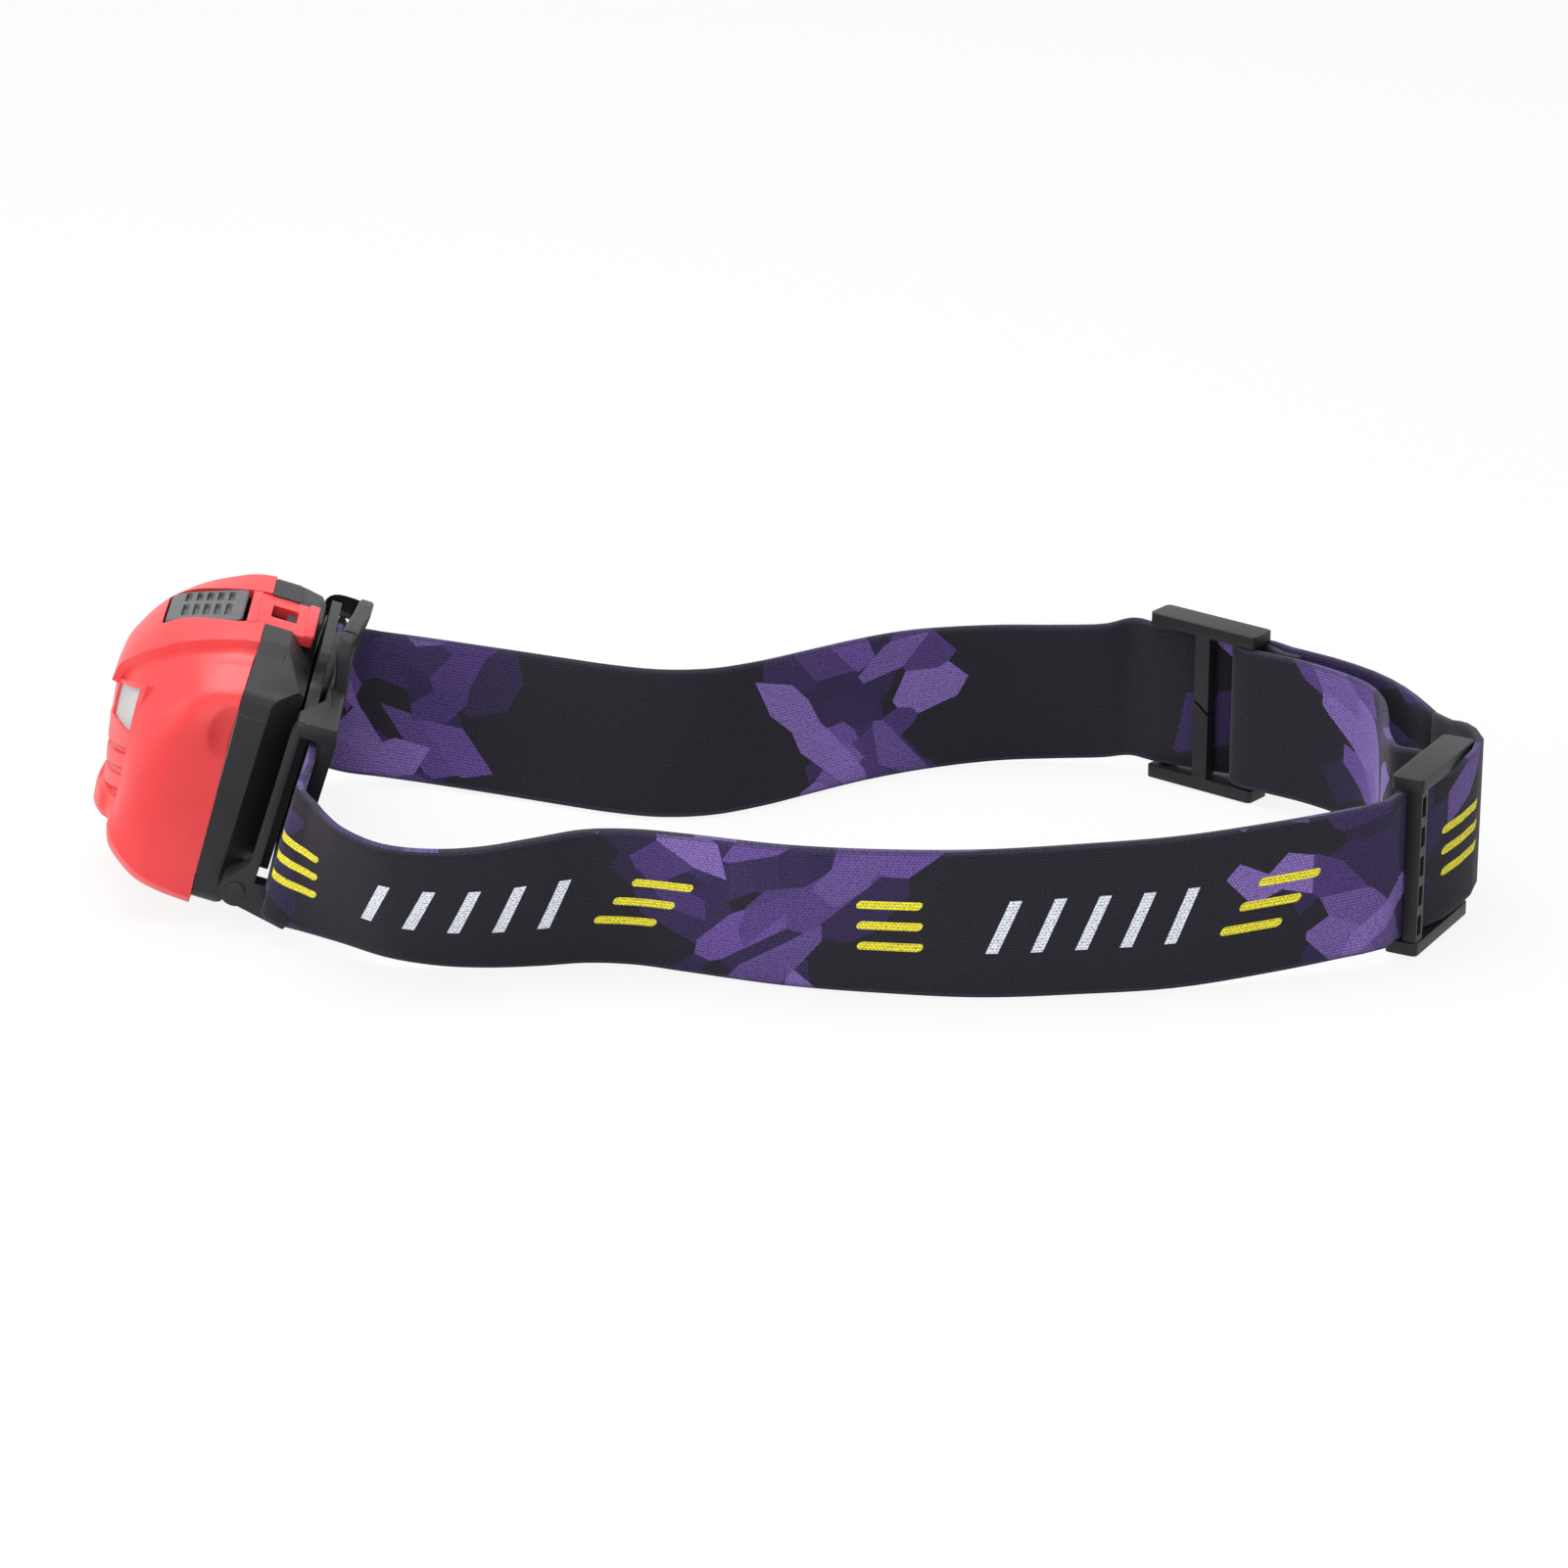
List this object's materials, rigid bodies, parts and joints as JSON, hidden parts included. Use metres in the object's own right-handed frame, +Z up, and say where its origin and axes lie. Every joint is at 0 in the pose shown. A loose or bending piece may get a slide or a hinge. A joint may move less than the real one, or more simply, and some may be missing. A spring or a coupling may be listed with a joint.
{
  "type": "headlamp",
  "caption": "Headlamp with a hinged battery case that tilts on a slotted bracket, worn on an elastic strap with slide buckles.",
  "frame": {"origin": "centre of the bounding box in plan, on the surface that the headlamp stands on", "axes": "+X from the lamp to the back of the head, +Y across the head, +Z up"},
  "size_m": [0.2224, 0.1078, 0.0455],
  "materials": {
    "red_plastic": "satin red moulding",
    "black_plastic": "fine textured black moulding",
    "strap_webbing": "dark printed elastic webbing",
    "buckle_plastic": "matt black moulding",
    "button_rubber": "grey ribbed rubber",
    "steel": "plain steel",
    "cell_sleeve": "plain sleeve",
    "clear_lens": "clear moulded lens",
    "reflector": "bright metallised",
    "led": "phosphor",
    "circuit_board": "green solder mask",
    "switch_body": "black"
  },
  "bodies": {
    "bracket": {"mount_bracket": "black_plastic", "head_strap": "strap_webbing", "tilt_pin_near": "steel", "tilt_pin_far": "steel"},
    "housing": {"rear_housing": "black_plastic", "battery_cell_1": "cell_sleeve", "battery_cell_2": "cell_sleeve", "battery_cell_3": "cell_sleeve", "contact_plate_near": "steel", "contact_plate_far": "steel", "contact_spring_1": "steel", "contact_spring_2": "steel", "contact_spring_3": "steel", "cover_hinge_pin": "steel"},
    "cover": {"front_cover": "red_plastic", "lens": "clear_lens", "reflector": "reflector", "led_near": "led", "led_centre": "led", "led_far": "led", "circuit_board": "circuit_board", "board_screw_near": "steel", "board_screw_far": "steel", "tact_switch": "switch_body", "inner_plate": "black_plastic", "plate_screw_1": "steel", "plate_screw_2": "steel", "plate_screw_3": "steel", "plate_screw_4": "steel"},
    "button": {"mode_button": "button_rubber"},
    "latch": {"latch_tab": "red_plastic"},
    "buckle_near": {"slide_buckle_near": "buckle_plastic"},
    "buckle_far": {"slide_buckle_far": "buckle_plastic"}
  },
  "joints": [
    {"name": "lamp_tilt", "type": "hinge", "parent": "bracket", "child": "housing", "pos_m": [-0.0866, 0.00636, 0.00697], "axis": [0, -1, 0], "range_deg": [0, 60]},
    {"name": "cover_hinge", "type": "hinge", "parent": "housing", "child": "cover", "pos_m": [-0.09358, 0.00636, 0.00199], "axis": [0, -1, 0], "range_deg": [0, 75], "deforming": ["latch_tab"]},
    {"name": "latch_flex", "type": "hinge", "parent": "cover", "child": "latch", "pos_m": [-0.08643, 0.00636, 0.04277], "axis": [0, -1, 0], "range_deg": [0, 10], "stiffness_Nm_per_rad": 0.05},
    {"name": "button_press", "type": "slide", "parent": "cover", "child": "button", "axis": [0.0749, 0, -0.9972], "range_m": [0, 0.001], "stiffness_N_per_m": 300},
    {"name": "near_buckle_slide", "type": "slide", "parent": "bracket", "child": "buckle_near", "axis": [0.4848, 0.8746, 0], "range_m": [-0.008, 0.008], "deforming": ["head_strap"]},
    {"name": "far_buckle_slide", "type": "slide", "parent": "bracket", "child": "buckle_far", "axis": [0.776, -0.6307, 0], "range_m": [-0.008, 0.008], "deforming": ["head_strap"]}
  ]
}
